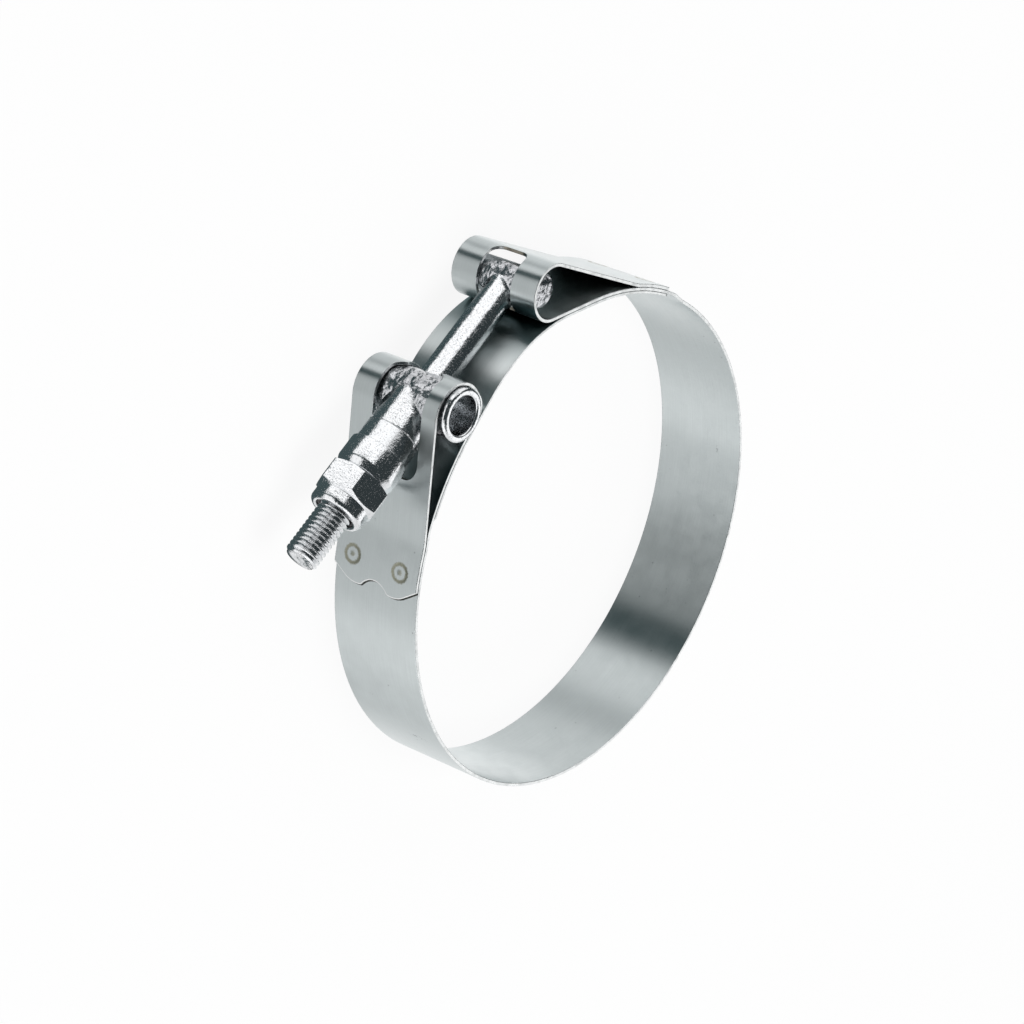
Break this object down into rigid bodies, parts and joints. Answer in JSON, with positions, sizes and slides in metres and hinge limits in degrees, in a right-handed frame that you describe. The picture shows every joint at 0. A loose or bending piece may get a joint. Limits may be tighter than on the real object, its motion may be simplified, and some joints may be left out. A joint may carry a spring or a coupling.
{
  "type": "t bolt clamp",
  "caption": "Round steel band clamp for hoses, drawn tight by a T-headed bolt through a trunnion, with a collar and a lock nut.",
  "frame": {"origin": "centre of the clamped circle, half way across the width of the band", "axes": "+Z along the axis of the hose, across the band; +X along the bolt towards the nut; the bolt lies on the -Y side"},
  "size_m": [0.096, 0.1066, 0.0201],
  "materials": {
    "stainless_strip": "rolled stainless strip, satin with a fine grain along its length",
    "plated_steel": "bright zinc plating with a fine crystalline mottle",
    "nylon": "plain nylon"
  },
  "bodies": {
    "clamp": {"band": "stainless_strip", "bridge": "stainless_strip", "t_bolt": "plated_steel", "trunnion": "plated_steel"},
    "spacer": {"collar": "plated_steel"},
    "nut": {"lock_nut": "plated_steel", "nylon_insert": "nylon"}
  },
  "joints": [
    {"name": "collar_slide", "type": "slide", "parent": "clamp", "child": "spacer", "axis": [1, 0, 0], "range_m": [0, 0.01]},
    {"name": "nut_turn", "type": "hinge", "parent": "spacer", "child": "nut", "pos_m": [0.03282, -0.05257, 0.0006], "axis": [1, 0, 0], "range_deg": [0, 3960]}
  ],
  "couplings": [
    {"joint": "collar_slide", "follows": "nut_turn", "m_per_rad": 0.00014438}
  ]
}
